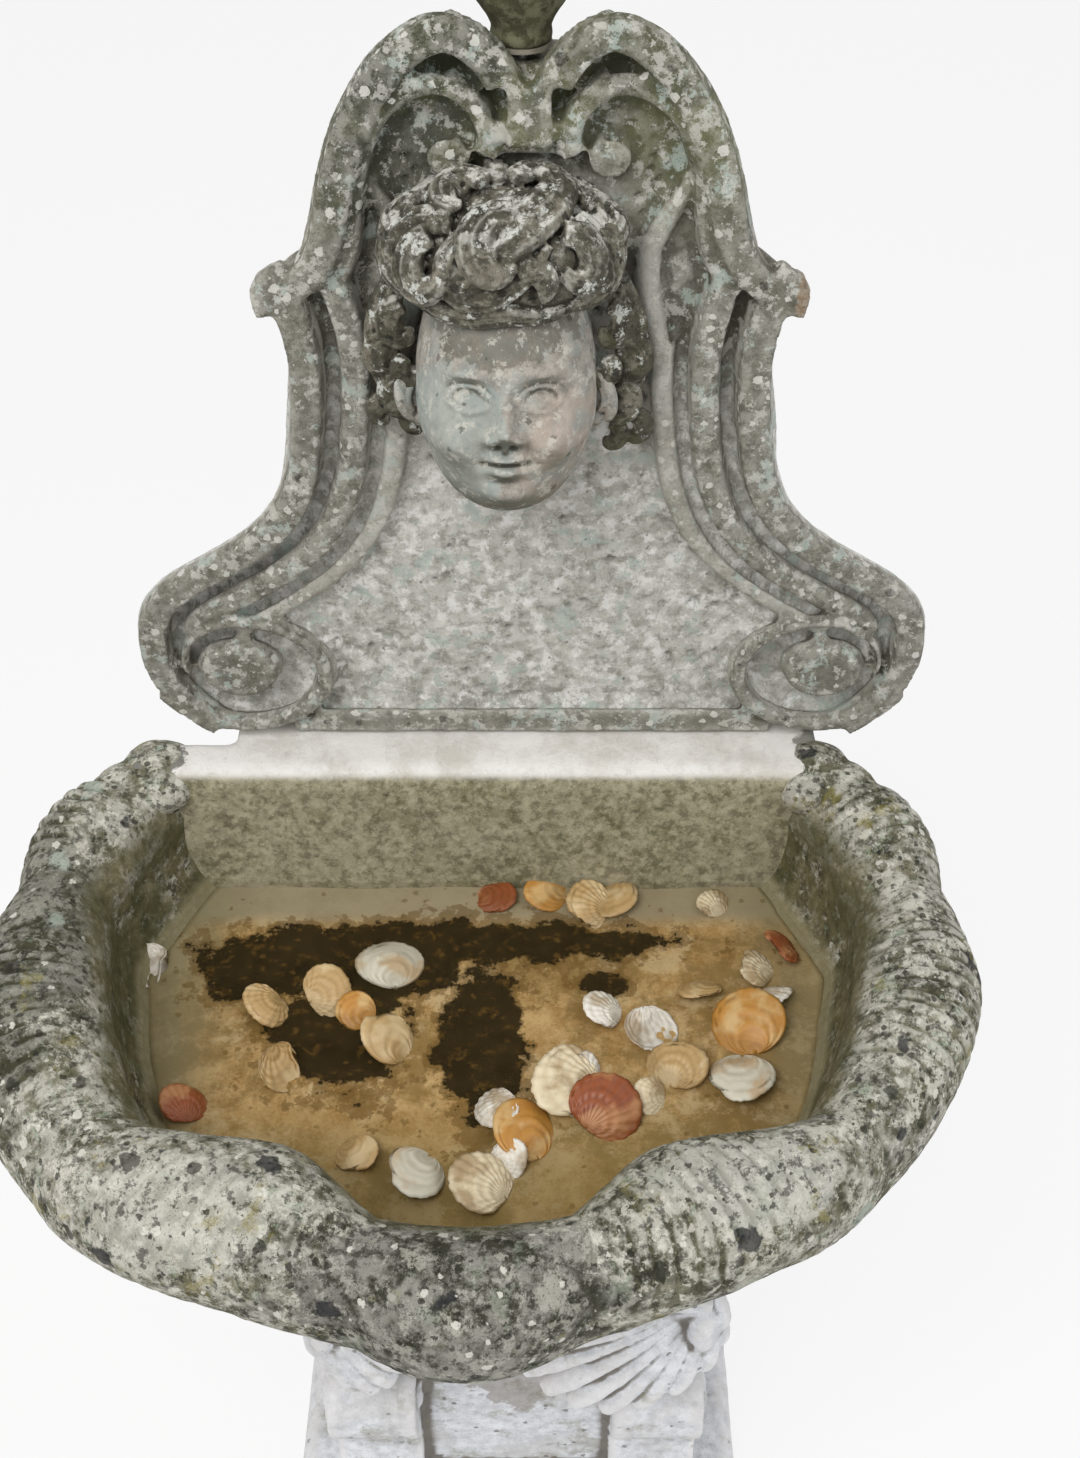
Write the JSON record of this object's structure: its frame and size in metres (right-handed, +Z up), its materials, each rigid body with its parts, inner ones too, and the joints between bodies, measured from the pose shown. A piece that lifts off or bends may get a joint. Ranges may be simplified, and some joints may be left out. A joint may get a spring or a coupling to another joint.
{
  "type": "lobed stone font with back panel",
  "caption": "Stone font: a lobed rolled-rim basin on a carved pedestal, with a scrolled back panel, a cherub's head in high relief, a bud finial and a plugged drain.",
  "frame": {"origin": "on the floor, in the middle of the basin's width and of the whole depth from the rim's front to the wall plane", "axes": "+Z up, -Y to the front where a person stands at the basin, +X to that person's right; the panel's back lies on the wall plane at +Y"},
  "size_m": [0.7702, 0.6123, 1.477],
  "materials": {
    "pedestal_stone": "pale grey-lilac stone, weathered",
    "basin_stone": "rough stone under lichen and moss",
    "panel_stone": "pitted pale grey stone, lichened",
    "head_stone": "smoother weathered stone, lichened hair",
    "finial_stone": "dark olive-brown weathered stone",
    "mortar": "lime mortar",
    "dowel_steel": "stainless rod",
    "bronze": "dull bronze",
    "drain_pipe_bronze": "dull bronze tube",
    "seal_rubber": "black rubber"
  },
  "bodies": {
    "root": {"base_slab": "pedestal_stone", "pedestal_foot": "pedestal_stone", "pedestal_shaft": "pedestal_stone", "pedestal_capital": "pedestal_stone", "basin": "basin_stone", "back_panel": "panel_stone", "cherub_head": "head_stone", "finial": "finial_stone", "setting_dowels": "dowel_steel", "foot_bed": "mortar", "shaft_bed": "mortar", "capital_bed": "mortar", "basin_bed": "mortar", "panel_bed": "mortar", "head_bed": "mortar", "head_dowels": "dowel_steel", "finial_bed": "mortar", "finial_dowel": "dowel_steel", "waste": "bronze", "waste_seal": "seal_rubber", "nut_washer": "seal_rubber", "waste_nut": "bronze", "drain_pipe": "drain_pipe_bronze", "pipe_coupling": "bronze"},
    "plug": {"plug": "bronze", "plug_seal": "seal_rubber"}
  },
  "joints": [
    {"name": "plug_lift", "type": "slide", "parent": "root", "child": "plug", "axis": [0, 0, 1], "range_m": [0, 0.014]}
  ]
}
